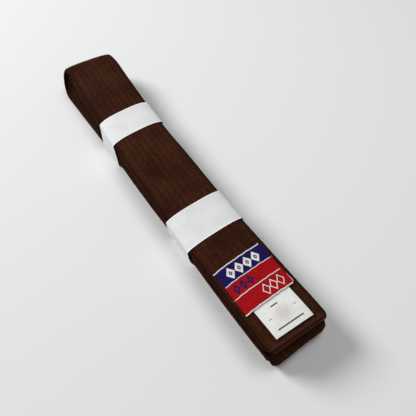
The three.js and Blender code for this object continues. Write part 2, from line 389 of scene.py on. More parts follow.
def face_columns():
    """The places across the belt where its faces have a vertex: closest at the quilting rows."""
    at_rows = [row + offset for row in ROW_PLACES for offset in ROW_COLUMNS]
    between = [row + ROW_SPACING / 2 for row in ROW_PLACES[:-1]]
    return sorted([column for column in at_rows if abs(column) < FACE_HALF_WIDTH] + between)


def plumpness(x):
    """The share of the full thickness at x: the belt is thinner towards its edges."""
    return 1 - EDGE_THINNING * (np.abs(x) / HALF_WIDTH) ** 6


def section():
    """The belt's closed cross-section: x, the share of the half thickness, and the face's side.
    It starts at the -X edge and runs over the face, round the +X edge and back under."""
    rim = HALF_WIDTH - EDGE_ROUND
    left = [(-rim - EDGE_ROUND * math.cos(angle), math.sin(angle), 0)
            for angle in np.linspace(0, math.pi / 2, EDGE_STEPS)]
    face = [(column, 1, 1) for column in face_columns()]
    right = [(-x, share, side) for x, share, side in left[::-1]]
    over = left + face + right
    under = [(x, -share, -side) for x, share, side in over[-2:0:-1]]
    return np.array(over + under).T


def stations(start, end, at_start=False, at_end=False):
    """Lengths along the belt where a section is made, closer together in turns and at hemmed ends."""
    inside = (PATH_S > start) & (PATH_S < end)
    lengths = np.concatenate([[start], PATH_S[inside], [end]])
    step = np.interp((lengths[1:] + lengths[:-1]) / 2, PATH_S, PATH_STEPS)
    count = np.concatenate([[0], np.cumsum(np.diff(lengths) / step)])
    spaced = np.interp(np.linspace(0, count[-1], math.ceil(count[-1]) + 1), count, lengths)
    hem, hem_run = HEM_STATIONS, HEM_STATIONS[-1] + 0.3
    if at_start:
        spaced = np.concatenate([start + hem, spaced[spaced > start + hem_run]])
    if at_end:
        spaced = np.concatenate([spaced[spaced < end - hem_run], end - hem[::-1]])
    return spaced


def hem_shape(from_end):
    """The share of the width and of the thickness that a hemmed end has, by distance from it."""
    across = CORNER_ROUND - np.clip(from_end, 0, CORNER_ROUND)
    width = 1 - (CORNER_ROUND - np.sqrt(CORNER_ROUND ** 2 - across ** 2)) / HALF_WIDTH
    into = 1 - np.clip(from_end / HEM_ROUND, 0, 1)
    return width, np.sqrt(1 - HEM_THINNING * into ** 2)


# -------- meshes


def lofted(name, points, texture, round_edges=False, colours=None):
    """A closed mesh from sections, an array (sections, points, 3), with its texture coordinates.
    A section runs out along one face and back along the other. With round_edges it has a single
    point at each edge, and its texture runs on round them."""
    sections, around = points.shape[:2]
    index = np.arange(sections * around).reshape(sections, around)
    turned, wrapped = np.roll(index, -1, axis=1), np.roll(texture, -1, axis=1)
    if round_edges:
        wrapped[:, -1, 1] += 2 * HALF_ROUND * MM
    quads = np.stack([index[:-1], turned[:-1], turned[1:], index[1:]], -1).reshape(-1, 4)
    corners = np.stack([texture[:-1], wrapped[:-1], wrapped[1:], texture[1:]], 2).reshape(-1, 2)

    caps = []
    last = around if round_edges else around - 1
    for row in (0, sections - 1):
        for k in range(last // 2):
            ring = list(dict.fromkeys([k, k + 1, last - k - 1, (last - k) % around]))
            caps.append((row, ring if row else ring[::-1]))
    faces = quads.tolist() + [index[row, ring].tolist() for row, ring in caps]

    mesh = bpy.data.meshes.new(name)
    mesh.from_pydata(points.reshape(-1, 3).tolist(), [], faces)
    uv = mesh.uv_layers.new(name="cloth")
    flat = np.concatenate([corners] + [texture[row, ring] for row, ring in caps])
    uv.data.foreach_set("uv", flat.astype(np.float32).ravel())
    if colours is not None:
        layer = mesh.color_attributes.new("woven", "FLOAT_COLOR", "POINT")
        rgba = np.concatenate([colours.reshape(-1, 3), np.ones((sections * around, 1))], 1)
        layer.data.foreach_set("color", rgba.astype(np.float32).ravel())
    mesh.polygons.foreach_set("use_smooth", np.ones(len(faces), bool))
    sharpen(mesh)
    return linked(name, mesh)


def sharpen(mesh):
    """Marks the caps' rims sharp, so that the faces keep their own shading up to the rim."""
    mesh.set_sharp_from_angle(angle=math.radians(50))
    mesh.validate()
    face_outwards(mesh)


def face_outwards(mesh):
    """Flips a closed mesh whose faces point inwards, which makes its signed volume negative."""
    mesh.calc_loop_triangles()
    corners = np.zeros(len(mesh.loop_triangles) * 3, np.int32)
    mesh.loop_triangles.foreach_get("vertices", corners)
    places = np.zeros(len(mesh.vertices) * 3, np.float32)
    mesh.vertices.foreach_get("co", places)
    a, b, c = np.moveaxis(places.reshape(-1, 3)[corners.reshape(-1, 3)].astype(float), 1, 0)
    if np.sum(a * np.cross(b, c)) < 0:
        mesh.flip_normals()


def joined(name, parts):
    """One mesh object made of many small closed parts, each (vertices, faces)."""
    vertices, faces, base = [], [], 0
    for part_vertices, part_faces in parts:
        vertices.append(part_vertices)
        faces.append(part_faces + base)
        base += len(part_vertices)
    mesh = bpy.data.meshes.new(name)
    mesh.from_pydata(np.concatenate(vertices).tolist(), [], np.concatenate(faces).tolist())
    mesh.polygons.foreach_set("use_smooth", np.ones(len(mesh.polygons), bool))
    face_outwards(mesh)
    return linked(name, mesh)


def tube_faces(rings, sides):
    """The quads of a tube with a point at each tip. At the tips a quad spans two of its sides."""
    faces = []
    last = (rings - 1) * sides
    for first in range(0, last, sides):
        for k in range(sides):
            n = (k + 1) % sides
            faces.append((first + k, first + n, first + sides + n, first + sides + k))
    for k in range(0, sides, 2):
        a, b, c = k, k + 1, (k + 2) % sides
        faces.append((rings * sides, c, b, a))
        faces.append((rings * sides + 1, last + a, last + b, last + c))
    return np.array(faces)


# -------- the belt

# A lockstitch of the quilting thread, and the room it needs each side of its middle.
STITCH_LENGTH, STITCH_RADIUS, STITCH_ROOM = 2.5, 0.17, 1.3
STITCH_RINGS, STITCH_SIDES = 5, 6
STITCH_FACES = tube_faces(STITCH_RINGS, STITCH_SIDES)

# The cover's wall, the gaps beside the wadding, and its distance from the belt's edges and ends.
COVER_WALL, WADDING_GAP = 0.5, 0.2
WADDING_INSET, WADDING_END = 2.6, 4.2
WADDING_COLUMNS = 9


def belt_length(name, start, end, hem_start, hem_end):
    """A length of the belt: the cover cloth, quilted on both faces."""
    x, share, side = section()
    s = stations(start, end, hem_start, hem_end)[:, None]
    from_end = np.full_like(s, math.inf)
    if hem_start:
        from_end = np.minimum(from_end, s - start)
    if hem_end:
        from_end = np.minimum(from_end, end - s)
    width, thickness = hem_shape(from_end)
    out = share * CLOTH / 2 * plumpness(x)
    for face in (1, -1):
        out = out + np.where(side == face, face * relief(s, x[None, :], face), 0)
    hem_row = HEM_ROW_DEPTH * np.exp(-((from_end - HEM_ROW) / HEM_ROW_WIDTH) ** 2)
    points = place(s, x * width, out * thickness - share * hem_row)
    around = np.where(np.arange(len(x)) <= len(x) // 2, x, HALF_ROUND - x)
    return lofted(name, points, texture_at(s, around), round_edges=True)


def stitch(s, x, side):
    """One lockstitch lying in its groove, as a short tube that dives in at both ends."""
    t = np.linspace(-1, 1, STITCH_RINGS)
    surface = CLOTH / 2 * plumpness(x) - GROOVE_DEPTH
    rise = 0.12 - 0.26 * t ** 4
    thick = STITCH_RADIUS * (1 - 0.35 * t ** 4)
    angle = np.linspace(0, 2 * math.pi, STITCH_SIDES, endpoint=False)
    lengths = (s + t * STITCH_LENGTH / 2)[:, None] + 0 * angle
    across = x + thick[:, None] * np.cos(angle)
    out = side * (surface + rise[:, None] + thick[:, None] * np.sin(angle))
    tube = place(lengths, across, out).reshape(-1, 3)
    tip_places = s + np.array([-1.0, 1.0]) * (STITCH_LENGTH / 2 + 0.1)
    tips = place(tip_places, x, side * (surface - 0.2))
    return np.concatenate([tube, tips]), STITCH_FACES


def quilting(name, stretches):
    """The quilting thread along stretches of the belt, each (start, end, side)."""
    parts = []
    for start, end, side in stretches:
        for row, x in enumerate(ROW_PLACES):
            phase = stitch_phase(row, start)
            middle = start + (0.5 - phase if phase <= 0.5 else 1.5 - phase) * STITCH_PITCH
            while middle + STITCH_ROOM < end:
                if middle - STITCH_ROOM > start:
                    parts.append(stitch(middle, x, side))
                middle += STITCH_PITCH
    return joined(name, parts)


def there_and_back(columns):
    """A flat section's places across, out along its face and back, and 1 or -1 for the side."""
    return np.concatenate([columns, columns[::-1]]), np.repeat([1.0, -1.0], len(columns))


def core_ply(name, start, end, index):
    """One ply of the wadding inside the cover, following the same path."""
    room = CLOTH - 2 * COVER_WALL
    thickness = (room - 3 * WADDING_GAP) / 2
    middle = room / 2 - WADDING_GAP - index * (thickness + WADDING_GAP) - thickness / 2
    edge = HALF_WIDTH - WADDING_INSET
    x, side = there_and_back(np.linspace(-edge, edge, WADDING_COLUMNS))
    s = np.unique(np.concatenate([stations(start, end)[::2], [start, end]]))[:, None]
    points = place(s, x, middle + side * thickness / 2)
    return lofted(name, points, texture_at(s, x))


# -------- the labels

WOVEN_LOW, WOVEN_HIGH = node_box("woven_label")
SIZE_LOW, SIZE_HIGH = node_box("size_label")
TAB_LOW, TAB_HIGH = node_box("size_label_sewn_tab")

LABEL_RED = (0.36, 0.004, 0.007)
LABEL_BLUE = (0.011, 0.007, 0.085)
LABEL_WHITE = (0.80, 0.76, 0.74)
LABEL_DARK = (0.045, 0.008, 0.07)
STRIPE_LINES = (10.4, 19.2)
# The rows of woven diamonds, measured from the label's -X edge and its far edge: a row's start,
# spacing, count and middle line, a diamond's half sizes, and its hollow's and dot's shares of them.
DIAMOND_ROWS = [
    (LABEL_WHITE, 4.6, 5.9, 4, 5.35, (2.85, 3.9), 0.42, 0.14),
    (LABEL_DARK, 2.4, 4.7, 3, sum(STRIPE_LINES) / 2, (2.3, 3.4), 0.3, 0.0),
    (LABEL_WHITE, 15.4, 5.0, 3, 24.4, (2.5, 3.7), 0.76, 0.0),
]
# The labels' gaps to the belt's face, the woven one's thickness, and the meshes' steps.
WOVEN_GAP, WOVEN_THICKNESS, WOVEN_STEP = 0.1, 0.34, 0.16
TAPE_GAP, TAPE_STEP = 0.07, 0.2
TAPE_WHITE, TAPE_INK, TAPE_TICK = (0.79, 0.79, 0.765), (0.035, 0.03, 0.03), (0.33, 0.05, 0.06)
TAPE_STAIN, STAIN_RADIUS, STAIN_SHARE = (0.56, 0.45, 0.45), 7.6, 0.5
# How far aside the underside's texture lies, so that it isn't the face's own.
LABEL_UNDERSIDE = 60


def diamonds(across, down, first, pitch, count, middle, half_size, hollow, dot):
    """Where a row of woven diamonds lies: each a ring round a hollow, with a dot in it."""
    inside = (across > first) & (across < first + count * pitch)
    x = np.abs((across - first) % pitch - pitch / 2)
    ring = x / half_size[0] + np.abs(down - middle) / half_size[1]
    return inside & (ring < 1) & ((ring > hollow) | (ring < dot))


def woven_colours(across, down):
    """The woven label's colours: across from its -X edge and down from its far edge, in mm.
    Blue over red, with three rows of diamonds."""
    colour = np.empty(across.shape + (3,))
    colour[...] = LABEL_RED
    colour[down < STRIPE_LINES[0]] = LABEL_BLUE
    for figure_colour, *row in DIAMOND_ROWS:
        colour[diamonds(across, down, *row)] = figure_colour
    return colour


def label_sheet(name, width, near_y, far_y, gap, thickness, step, colours, lift):
    """A thin label on the belt's top face, gap above it, with lift(x, y) for how it lies."""
    y = np.linspace(far_y, near_y, int(round((far_y - near_y) / step)) + 1)[:, None]
    x, side = there_and_back(np.linspace(-width / 2, width / 2, int(round(width / step)) + 1))
    top = side > 0
    points = place(y - FREE_END, x, CLOTH / 2 + gap + top * thickness + lift(x, y))
    across, down = np.broadcast_arrays(x + width / 2, far_y - y)
    texture = texture_at(y, x + LABEL_UNDERSIDE * ~top)
    return lofted(name, points, texture, colours=colours(across, down))


def woven_label():
    """The woven label, which rises over the size label's sewn tab."""
    tuck = TAB_HIGH[2] - TAB_LOW[2] + 0.05

    def lift(x, y):
        over_tab = smooth(TAB_HIGH[1] + 2.5, TAB_HIGH[1], y) * smooth(14.5, 12.6, np.abs(x))
        weave = 0.035 * ripples(x, y, 7, 41)
        return 0.02 + tuck * over_tab + weave

    return label_sheet(
        "woven_label_cloth", WOVEN_HIGH[0] - WOVEN_LOW[0], WOVEN_LOW[1], WOVEN_HIGH[1],
        WOVEN_GAP, WOVEN_THICKNESS, WOVEN_STEP, woven_colours, lift,
    )


def size_colours(across, down):
    """The size label: white tape with a short rule, two ticks, a long rule and a soft stain."""
    width = SIZE_HIGH[0] - SIZE_LOW[0]
    below = down - (TAB_HIGH[1] - TAB_LOW[1])

    def mark(middle, line, half_length, half_height):
        return (np.abs(across - width * middle) < half_length) & (np.abs(below - line) < half_height)

    colour = np.empty(across.shape + (3,))
    colour[...] = TAPE_WHITE
    colour[mark(0.44, 4.0, 2.3, 0.42)] = TAPE_INK
    colour[mark(0.5, 16.4, 8.2, 0.4)] = TAPE_INK
    for middle in (0.16, 0.84):
        colour[mark(middle, 9.6, 0.9, 0.22)] = TAPE_TICK
    spread = np.hypot(across - width * 0.5, (below - 10.2) * 1.1) / STAIN_RADIUS
    stain = smooth(1.0, 0.2, spread)[..., None] * STAIN_SHARE
    return colour * (1 - stain) + np.array(TAPE_STAIN) * stain


def size_label():
    """The size label with its sewn tab. It stands off the belt towards its free edge and corner."""

    def lift(x, y):
        free = smooth(SIZE_HIGH[1], SIZE_LOW[1], y)
        corner = smooth(4, 12.2, -x) * smooth(SIZE_LOW[1] + 14, SIZE_LOW[1], y)
        return 0.55 * free + 0.45 * corner + 0.03 * ripples(x, y, 16, 43) * free

    return label_sheet(
        "size_label_tape", SIZE_HIGH[0] - SIZE_LOW[0], SIZE_LOW[1], TAB_HIGH[1],
        TAPE_GAP, SIZE_HIGH[2] - SIZE_LOW[2], TAPE_STEP, size_colours, lift,
    )


# The label's sewing thread: its stitches, its mesh, and its heights above the belt's face.
SEWN_PITCH, SEWN_STEP, SEWN_SIDES = 1.5, 0.22, 8
ON_LABEL = WOVEN_GAP + WOVEN_THICKNESS + 0.08
BESIDE_LABEL = 0.32


def thread_run(line, radius, height):
    """A sewn thread along a line of (x, y) points on the belt's top face, swelling at each stitch."""
    line = np.array(line, float)
    at_points = lengths_along(line)
    length = at_points[-1]
    t = np.linspace(0, length, max(8, int(length / SEWN_STEP)))
    x, y = np.interp(t, at_points, line[:, 0]), np.interp(t, at_points, line[:, 1])
    heading = np.stack([np.gradient(x, t), np.gradient(y, t)], 1)
    heading /= np.linalg.norm(heading, axis=1)[:, None]
    swell = radius * (0.86 + 0.24 * np.sin(math.pi * (t / SEWN_PITCH % 1)) ** 0.8)
    from_end = np.minimum(t, length - t)
    swell = swell * np.sqrt(np.clip(0.12 + from_end / radius, 0, 1))
    wander = 0.12 * ripples(t, 0 * t, 5, 51, 4)
    x, y = x - heading[:, 1] * wander, y + heading[:, 0] * wander
    angle = np.linspace(0, 2 * math.pi, SEWN_SIDES, endpoint=False)
    sideways = swell[:, None] * np.cos(angle)
    tube_x = x[:, None] - heading[:, 1:] * sideways
    tube_y = y[:, None] + heading[:, :1] * sideways
    out = CLOTH / 2 + height
    tube = place(tube_y - FREE_END, tube_x, out + 0.75 * swell[:, None] * np.sin(angle))
    tips = place(y[[0, -1]] - FREE_END, x[[0, -1]], out)
    return np.concatenate([tube.reshape(-1, 3), tips]), tube_faces(len(t), SEWN_SIDES)


def label_threads():
    """The threads along the woven label's edges and its white lines, with a few loose ends."""
    left, right = WOVEN_LOW[0], WOVEN_HIGH[0]
    far, near = WOVEN_HIGH[1], WOVEN_LOW[1]
    upper, lower = far - STRIPE_LINES[0], far - STRIPE_LINES[1]
    runs = [
        ([(left - 0.9, far - 0.3), (0, far + 0.1), (right - 1.6, far + 0.2), (right - 0.9, far + 0.9)],
         0.42, BESIDE_LABEL + 0.06),
        ([(left + 0.2, upper), (right - 0.6, upper)], 0.3, ON_LABEL),
        ([(right + 0.25, upper + 0.1), (right + 0.7, upper + 0.3)], 0.28, BESIDE_LABEL),
        ([(left - 0.2, lower), (left - 0.6, lower - 0.1)], 0.26, BESIDE_LABEL),
        ([(left + 0.4, lower), (right - 1.0, lower)], 0.3, ON_LABEL),
        ([(left - 0.5, near - 0.05), (4, near + 0.1), (right - 0.6, near)], 0.4, ON_LABEL + 0.2),
        ([(right - 0.2, near + 0.5), (right + 0.25, near + 1.4), (right + 0.15, near + 6.4)],
         0.2, BESIDE_LABEL),
    ]
    return joined("woven_label_thread", [thread_run(*run) for run in runs])


# -------- the paper bands

PAPER = 0.18
BAND_STEP, BAND_COLUMNS = 0.6, 26
# Half the lap's length, the gap left for the glue in it, and the room between stack and paper.
BAND_LAP, LAP_GAP = 6.0, 0.12
BAND_SIDE_ROOM, BAND_TOP_ROOM = 0.62, 0.3
BAND_LOW_ROUND, BAND_TOP_ROUND = 1.2, 1.4
# The glue: its distance from the lap's edges, half its thickness and its mesh.
GLUE_MARGIN, GLUE_HALF, GLUE_COLUMNS = 1.5, 0.035, 40
# How far aside the underside's texture lies.
PAPER_UNDERSIDE = 80


def band_outline():
    """The strip's line in XZ, before the stack has settled: from its inner end, which lies on its
    outer end under the stack, and once round."""
    side = HALF_WIDTH + BAND_SIDE_ROOM
    top = STACK_TOP + BAND_TOP_ROOM
    low = PAPER / 2
    on_lap = low + PAPER + LAP_GAP
    points = [(BAND_LAP, on_lap), (0, on_lap), (-BAND_LAP, on_lap - 0.02)]
    points += [(-BAND_LAP - 2, low + 0.1), (-BAND_LAP - 4, low)]
    low_bend, top_bend = (low + BAND_LOW_ROUND, BAND_LOW_ROUND), (top - BAND_TOP_ROUND, BAND_TOP_ROUND)
    bends = [(-1, *low_bend), (-1, *top_bend), (1, *top_bend), (1, *low_bend)]
    for quarter, (sign, centre_z, radius) in enumerate(bends, 1):
        centre_x = sign * (side - radius)
        for angle in -math.pi / 2 * (quarter + np.linspace(0, 1, 9)):
            points.append((centre_x + radius * math.cos(angle), centre_z + radius * math.sin(angle)))
    points += [(BAND_LAP + 2, low), (-BAND_LAP, low)]
    return np.array(points)


def resampled(points, step):
    """The line's points at even steps, and the length along it at each."""
    at_points = lengths_along(points)
    t = np.linspace(0, at_points[-1], int(at_points[-1] / step) + 1)
    return np.stack([np.interp(t, at_points, column) for column in points.T], 1), t


def band_settle(x, y, z):
    """As settle, but taut paper runs straight across where the stack's side is hollow."""
    u = np.clip((z - STACK_BOTTOM) / (STACK_TOP - STACK_BOTTOM), 0, 1)
    profile, straight = lean(y) * lean_share(y, u), lean(y) * u
    leftmost, rightmost = np.minimum(profile, straight), np.maximum(profile, straight)
    share = np.clip(x / HALF_WIDTH, -1, 1) / 2 + 0.5
    shift = leftmost * (1 - share) + rightmost * share
    sideways, upwards = long_waves(y)
    risen = crown(np.clip(x, -HALF_WIDTH, HALF_WIDTH), y) + upwards
    return np.stack([x + shift + u * sideways, y, z + smooth(0, 0.3, u) * u * risen], -1) * MM


def paper_band(name, low, high, seed):
    """A paper band between the places low and high, and the length of its strip."""
    outline, length = resampled(band_outline(), BAND_STEP)
    tangent = np.gradient(outline, axis=0)
    tangent /= np.linalg.norm(tangent, axis=1)[:, None]
    normal = np.stack([-tangent[:, 1], tangent[:, 0]], 1)
    y, side = there_and_back(np.linspace(low[1], high[1], BAND_COLUMNS))
    edge = smooth(2.2, 0, np.minimum(y - low[1], high[1] - y))
    height = outline[:, 1:]
    buckle = 0.05 * ripples(length[:, None], y, 24, seed) * smooth(2, 8, height)
    curl = 0.1 * edge * smooth(STACK_TOP - 6, STACK_TOP - 1, height)
    out = side * PAPER / 2 + np.maximum(buckle, -0.03) + curl
    x = outline[:, :1] + normal[:, :1] * out
    z = height + normal[:, 1:] * out
    points = band_settle(*np.broadcast_arrays(x, y, z))
    texture = texture_at(length[:, None], y - low[1] + PAPER_UNDERSIDE * (side < 0))
    return lofted(name, points, texture), length[-1]


def glue_patch(name, low, high):
    """The dried glue between a band's two ends, as a thin uneven film."""
    reach = BAND_LAP - GLUE_MARGIN
    x = np.linspace(-reach, reach, 24)[:, None]
    y, side = there_and_back(np.linspace(low[1] + GLUE_MARGIN, high[1] - GLUE_MARGIN, GLUE_COLUMNS))
    rim = np.clip(np.minimum(reach - np.abs(x), 2) / 2, 0.15, 1)
    wobble = 0.35 * ripples(x, y, 6, 61) * (1 - rim)
    z = PAPER + LAP_GAP / 2 + side * GLUE_HALF * rim
    points = np.stack(np.broadcast_arrays(x + wobble, y, z), -1) * MM
    return lofted(name, points, texture_at(x, y + PAPER_UNDERSIDE * (side < 0)))


# -------- materials


class Nodes:
    """A short way to write one material's node tree."""

    def __init__(self, name, **settings):
        self.material = bpy.data.materials.new(name)
        self.material.use_nodes = True
        self.tree = self.material.node_tree
        self.shader = self.tree.nodes["Principled BSDF"]
        for socket, value in settings.items():
            self.shader.inputs[socket.replace("_", " ")].default_value = value

    def add(self, kind, inputs=None, **properties):
        node = self.tree.nodes.new(kind)
        for key, value in properties.items():
            setattr(node, key, value)
        for key, value in (inputs or {}).items():
            self.put(value, node.inputs[key])
        return node

    def put(self, value, socket):
        if isinstance(value, bpy.types.NodeSocket):
            self.tree.links.new(value, socket)
        else:
            socket.default_value = value

    def math(self, operation, a, b=0.0):
        return self.add("ShaderNodeMath", {0: a, 1: b}, operation=operation).outputs[0]

    def plus(self, a, b, share=1.0):
        """a and a share of b, added up."""
        return self.add("ShaderNodeMath", {0: b, 1: share, 2: a}, operation="MULTIPLY_ADD").outputs[0]

    def wave(self, value, wavelength):
        return self.math("SINE", self.math("MULTIPLY", value, 2 * math.pi / wavelength))

    def times(self, vector, scale):
        return self.add("ShaderNodeVectorMath", {0: vector, 1: scale}, operation="MULTIPLY").outputs[0]

    def scaled_uv(self, along, across):
        """Texture coordinates in cycles: so many for each millimetre along and across."""
        uv = self.add("ShaderNodeUVMap", uv_map="cloth").outputs[0]
        return self.times(uv, (along / MM, across / MM, 1))

    def along_across(self):
        """Texture coordinates as two values, in millimetres."""
        return self.add("ShaderNodeSeparateXYZ", {0: self.scaled_uv(1, 1)}).outputs[:2]

    def scaled_place(self, cycles):
        """The place in the object, for pieces without texture coordinates, in cycles."""
        return self.times(self.add("ShaderNodeTexCoord").outputs["Object"], (cycles / MM,) * 3)

    def noise(self, vector, detail=3.0, roughness=0.55):
        inputs = {"Vector": vector, "Scale": 1.0, "Detail": detail, "Roughness": roughness}
        return self.add("ShaderNodeTexNoise", inputs).outputs[0]

    def stretch(self, value, low, high, to_low=0.0, to_high=1.0):
        """A smooth step of the value from to_low at low to to_high at high."""
        inputs = {0: value, 1: low, 2: high, 3: to_low, 4: to_high}
        return self.add("ShaderNodeMapRange", inputs, interpolation_type="SMOOTHSTEP").outputs[0]

    def mix(self, share, a, b, blend="MIX"):
        inputs = {0: share, 6: a, 7: b}
        return self.add("ShaderNodeMix", inputs, data_type="RGBA", blend_type=blend).outputs[2]

    def bump(self, height, strength, distance):
        inputs = {"Height": height, "Strength": strength, "Distance": distance * MM}
        self.put(self.add("ShaderNodeBump", inputs).outputs[0], self.shader.inputs["Normal"])

    def colour(self, value):
        self.put(value, self.shader.inputs["Base Color"])

    def rough(self, value):
        self.put(value, self.shader.inputs["Roughness"])

    def dyed(self, colours, shade):
        """The colours that the mesh holds, darker or lighter by the shade."""
        held = self.add("ShaderNodeVertexColor", layer_name=colours).outputs[0]
        grey = self.add("ShaderNodeCombineColor", {0: shade, 1: shade, 2: shade}).outputs[0]
        self.colour(self.mix(1.0, held, grey, "MULTIPLY"))

    def twill(self, period):
        """Diagonal yarn ridges crossed by finer ones, about a middle of 0.5."""
        along, across = self.along_across()
        wander = self.noise(self.scaled_uv(0.9, 0.9), 2.0)
        ridge = self.wave(self.plus(self.plus(along, across), wander, period), period)
        cross = self.wave(across, period / 2)
        return self.plus(self.plus(0.5, ridge, 0.33), cross, 0.14)


# The dark colour serves both the cloth's real flecks and its painted shade.
COTTON_DARK = (0.012, 0.0026, 0.001, 1)
COTTON_BROWN = (0.028, 0.0078, 0.0032, 1)
COTTON_FADED = (0.062, 0.0195, 0.0088, 1)
# The colour of the free ends' painted highlight.
COTTON_PAINTED_RIM_LIGHT = (0.085, 0.032, 0.018, 1)
QUILTING_DARK, QUILTING_LIGHT = (0.026, 0.0075, 0.0034, 1), (0.05, 0.0155, 0.007, 1)
WADDING_DARK, WADDING_LIGHT = (0.62, 0.56, 0.46, 1), (0.74, 0.69, 0.6, 1)
THREAD_DARK, THREAD_LIGHT = (0.66, 0.6, 0.62, 1), (0.86, 0.83, 0.83, 1)
PAPER_DARK, PAPER_LIGHT = (0.70, 0.715, 0.715, 1), (0.785, 0.795, 0.79, 1)
# The colour of the paper bands' painted edge highlight.
PAPER_PAINTED_EDGE_LIGHT = (0.93, 0.93, 0.925, 1)
GLUE_DARK, GLUE_LIGHT = (0.62, 0.56, 0.34, 1), (0.72, 0.67, 0.46, 1)
TWILL_PERIOD = 0.62
DAMASK_WEFT, DAMASK_WARP, TAPE_RIB = 0.34, 0.26, 0.22


def cotton():
    """Brown cotton twill with slubs, flecks and faded patches, painted shade in row grooves and edge
    flanks, and painted highlights on edge crests and free ends.
    """
    nodes = Nodes("belt_cotton", Roughness=0.9, Sheen_Weight=0.04, Sheen_Roughness=0.45,
                  Sheen_Tint=(0.6, 0.27, 0.14, 1), Specular_IOR_Level=0.04)
    along, across = nodes.along_across()
    slub = nodes.noise(nodes.scaled_uv(0.3, 0.9), 4.0, 0.7)
    patch = nodes.noise(nodes.scaled_uv(0.035, 0.06), 3.0)
    fleck = nodes.noise(nodes.scaled_uv(0.75, 1.5), 3.0, 0.7)
    faded = nodes.stretch(nodes.plus(slub, patch), 0.72, 1.28)
    colour = nodes.mix(faded, COTTON_BROWN, COTTON_FADED)
    colour = nodes.mix(nodes.stretch(fleck, 0.46, 0.72, 0.0, 0.7), colour, COTTON_DARK)

    # Painted shade: darker along each quilting row, where the groove lies in shade.
    from_row = nodes.math("PINGPONG", across, ROW_SPACING / 2)
    painted_groove_shade = nodes.stretch(nodes.stretch(from_row, 0.25, 1.5), 0.0, 1.0, 0.22, 0.0)
    colour = nodes.mix(painted_groove_shade, colour, COTTON_DARK)

    # Painted shade darkens the edges' flanks, and a painted highlight leaves their outermost crest
    # lighter.
    from_middle = nodes.math("PINGPONG", across, HALF_ROUND / 2)
    painted_flank_shade = nodes.stretch(from_middle, HALF_WIDTH - 2.0, HALF_WIDTH - 1.1, 0.0, 0.88)
    painted_crest_light = nodes.stretch(from_middle, HALF_WIDTH - 0.7, HALF_WIDTH - 0.1, 1.0, 0.35)
    colour = nodes.mix(nodes.math("MULTIPLY", painted_flank_shade, painted_crest_light), colour, COTTON_DARK)

    # Painted highlight: lighter cloth along both free ends, where their hemmed rims catch the light.
    upper_painted_rim_light = nodes.stretch(along, 0.5, 2.2, 0.75, 0.0)
    lower_painted_rim_light = nodes.stretch(along, BELT_S - 2.2, BELT_S - 0.5, 0.0, 0.75)
    nodes.colour(nodes.mix(nodes.math("MAXIMUM", upper_painted_rim_light, lower_painted_rim_light), colour, COTTON_PAINTED_RIM_LIGHT))
    nodes.rough(nodes.stretch(fleck, 0.3, 0.7, 0.82, 0.96))
    fibres = nodes.noise(nodes.scaled_uv(5, 7), 2.0)
    nodes.bump(nodes.plus(nodes.twill(TWILL_PERIOD), fibres, 0.8), 0.55, 0.11)
    return nodes.material


def quilting_thread():
    nodes = Nodes("quilting_thread", Roughness=0.8, Specular_IOR_Level=0.05)
    tone = nodes.noise(nodes.scaled_place(1), 2.0)
    nodes.colour(nodes.mix(nodes.stretch(tone, 0.35, 0.65), QUILTING_DARK, QUILTING_LIGHT))
    return nodes.material


def wadding():
    nodes = Nodes("cotton_wadding", Roughness=0.95, Sheen_Weight=0.3)
    tone = nodes.noise(nodes.scaled_uv(0.6, 0.6), 5.0, 0.7)
    nodes.colour(nodes.mix(tone, WADDING_DARK, WADDING_LIGHT))
    nodes.bump(nodes.noise(nodes.scaled_uv(1.8, 1.8), 4.0), 0.6, 0.3)
    return nodes.material


def damask():
    """The woven label: colours held by the mesh, under weft ribs and finer warp ones."""
    nodes = Nodes("woven_damask", Roughness=0.7, Specular_IOR_Level=0.06)
    along, across = nodes.along_across()
    warp = nodes.math("MULTIPLY", nodes.wave(across, DAMASK_WARP), 0.18)
    weave = nodes.plus(warp, nodes.wave(along, DAMASK_WEFT), 0.3)
    fade = nodes.noise(nodes.scaled_uv(0.45, 0.45), 4.0, 0.6)
    nodes.dyed("woven", nodes.plus(nodes.stretch(fade, 0.3, 0.7, 0.84, 1.1), weave, 0.16))
    nodes.bump(weave, 0.5, 0.09)
    return nodes.material


def satin_tape():
    """The size label: colours held by the mesh, on a smooth and finely ribbed tape."""
    nodes = Nodes("satin_tape", Roughness=0.5, Sheen_Weight=0.08, Specular_IOR_Level=0.4)
    tone = nodes.noise(nodes.scaled_uv(0.4, 0.4), 4.0)
    nodes.dyed("woven", nodes.stretch(tone, 0.3, 0.7, 0.95, 1.04))
    rib = nodes.wave(nodes.along_across()[0], TAPE_RIB)
    nodes.bump(nodes.plus(nodes.noise(nodes.scaled_uv(2.2, 2.2), 3.0), rib, 0.4), 0.3, 0.05)
    return nodes.material


def white_thread():
    nodes = Nodes("white_sewing_thread", Roughness=0.6, Sheen_Weight=0.2)
    tone = nodes.noise(nodes.scaled_place(2.2), 3.0)
    nodes.colour(nodes.mix(nodes.stretch(tone, 0.35, 0.65), THREAD_DARK, THREAD_LIGHT))
    nodes.bump(tone, 0.5, 0.1)
    return nodes.material


